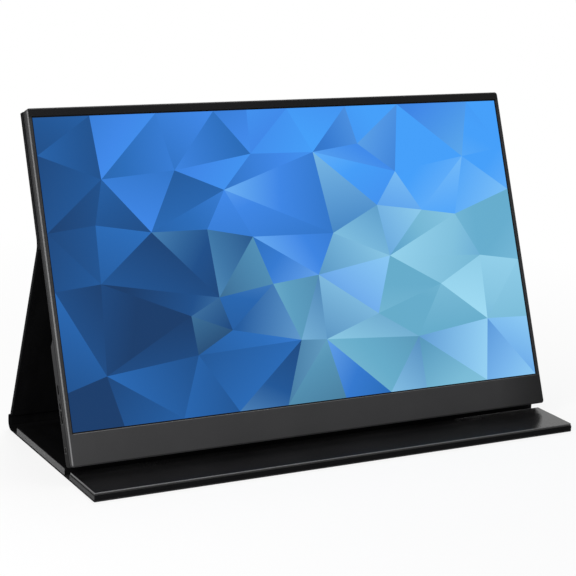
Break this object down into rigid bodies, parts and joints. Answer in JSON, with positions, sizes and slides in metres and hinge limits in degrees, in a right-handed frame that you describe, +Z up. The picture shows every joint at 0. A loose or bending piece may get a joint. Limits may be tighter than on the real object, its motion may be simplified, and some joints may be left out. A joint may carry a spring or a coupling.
{
  "type": "portable monitor with folding cover",
  "caption": "Flat portable monitor leaning on its own folding leather cover, with a front flap, a hinged rear leg and side controls and ports.",
  "frame": {"origin": "middle of the footprint on the table, halfway between the front edge of the flap and the back of the spine", "axes": "+X to the right along the screen as its user sees it, -Y towards the user, +Z up"},
  "size_m": [0.351, 0.1442, 0.2144],
  "materials": {
    "casing_front": "fine-grained matte black",
    "casing_back": "fine-grained dark grey",
    "picture_sheet": "anti-glare sheet with the lit picture behind it",
    "panel_glass": "thin panel glass",
    "diffuser": "milky diffuser film",
    "light_guide": "clear acrylic",
    "reflector": "white reflector film",
    "sheet_steel": "rolled sheet",
    "screw_steel": "black-zinc screws",
    "port_steel": "bright tinned steel shell",
    "circuit_board": "solder-masked glass-fibre board",
    "flex_film": "amber polyimide film",
    "lamp_strip": "white strip with lamps",
    "black_plastic": "plain black plastic",
    "key_plastic": "dark grey keys",
    "light_rod": "clear rod",
    "chip": "black moulded chip package",
    "spreader": "plain aluminium plate",
    "bumper_rubber": "soft black rubber",
    "cover_leather": "black, fine diagonal grain",
    "cover_board": "stiff board wrapped in grey-black leather",
    "cover_lining": "soft dark grey lining",
    "magnet": "nickel-plated flat magnet",
    "wire": "black insulated wire"
  },
  "bodies": {
    "base": {"rear_floor_skin": "cover_leather", "rear_floor_board": "cover_board", "rear_floor_lining": "cover_lining", "floor_magnets": "magnet"},
    "spine": {"spine_skin": "cover_leather", "spine_board": "cover_board"},
    "leg": {"leg_skin": "cover_leather", "leg_board": "cover_board", "leg_lining": "cover_lining"},
    "monitor": {"front_frame": "casing_front", "rear_shell": "casing_back", "screen_film": "picture_sheet", "lcd_cell": "panel_glass", "optical_films": "diffuser", "light_guide": "light_guide", "reflector_sheet": "reflector", "led_bar": "lamp_strip", "panel_tray": "sheet_steel", "driver_board": "circuit_board", "panel_flexes": "flex_film", "main_board": "circuit_board", "side_port_board": "circuit_board", "usb_c_port_left": "port_steel", "usb_c_port_right": "port_steel", "mini_hdmi_port": "port_steel", "headphone_jack": "black_plastic", "button_board": "circuit_board", "control_switches": "black_plastic", "status_light": "light_rod", "rocker_pin": "sheet_steel", "video_processor": "chip", "heat_spreader": "spreader", "display_cable": "flex_film", "link_cable": "flex_film", "speaker_left": "black_plastic", "speaker_right": "black_plastic", "speaker_leads": "wire", "lower_steel_strip": "sheet_steel", "cover_plate": "sheet_steel", "case_screws": "screw_steel", "board_screws": "screw_steel", "hump_feet": "bumper_rubber", "back_panel_pad": "cover_lining", "back_panel_board": "cover_board", "back_panel_magnets": "magnet", "back_panel_skin": "cover_leather"},
    "front_flap": {"flap_skin": "cover_leather", "flap_board": "cover_board", "flap_pad": "cover_lining", "flap_magnets": "magnet"},
    "power_key": {"power_button": "key_plastic"},
    "menu_key": {"menu_rocker": "key_plastic"}
  },
  "joints": [
    {"name": "cover_open", "type": "hinge", "parent": "base", "child": "spine", "pos_m": [0, 0.06829, 0.00385], "axis": [-1, 0, 0], "range_deg": [0, 90]},
    {"name": "leg_fold", "type": "hinge", "parent": "spine", "child": "leg", "pos_m": [0, 0.06829, 0.00735], "axis": [-1, 0, 0], "range_deg": [0, 18]},
    {"name": "back_fold", "type": "hinge", "parent": "leg", "child": "monitor", "pos_m": [0, 0.02294, 0.1333], "axis": [1, 0, 0], "range_deg": [0, 30.6]},
    {"name": "flap_fold", "type": "hinge", "parent": "base", "child": "front_flap", "pos_m": [0, -0.02973, 0.0005], "axis": [-1, 0, 0], "range_deg": [0, 20]},
    {"name": "power_press", "type": "slide", "parent": "monitor", "child": "power_key", "axis": [1, 0, 0], "range_m": [0, 0.0005], "stiffness_N_per_m": 1200, "springref_m": -0.0001},
    {"name": "menu_rock", "type": "hinge", "parent": "monitor", "child": "menu_key", "pos_m": [-0.1729, -0.01451, 0.05179], "axis": [0, 0.9272, -0.3746], "range_deg": [-4, 4], "stiffness_Nm_per_rad": 0.04}
  ],
  "couplings": [
    {"joint": "back_fold", "follows": "leg_fold", "ratio": 1.7}
  ]
}
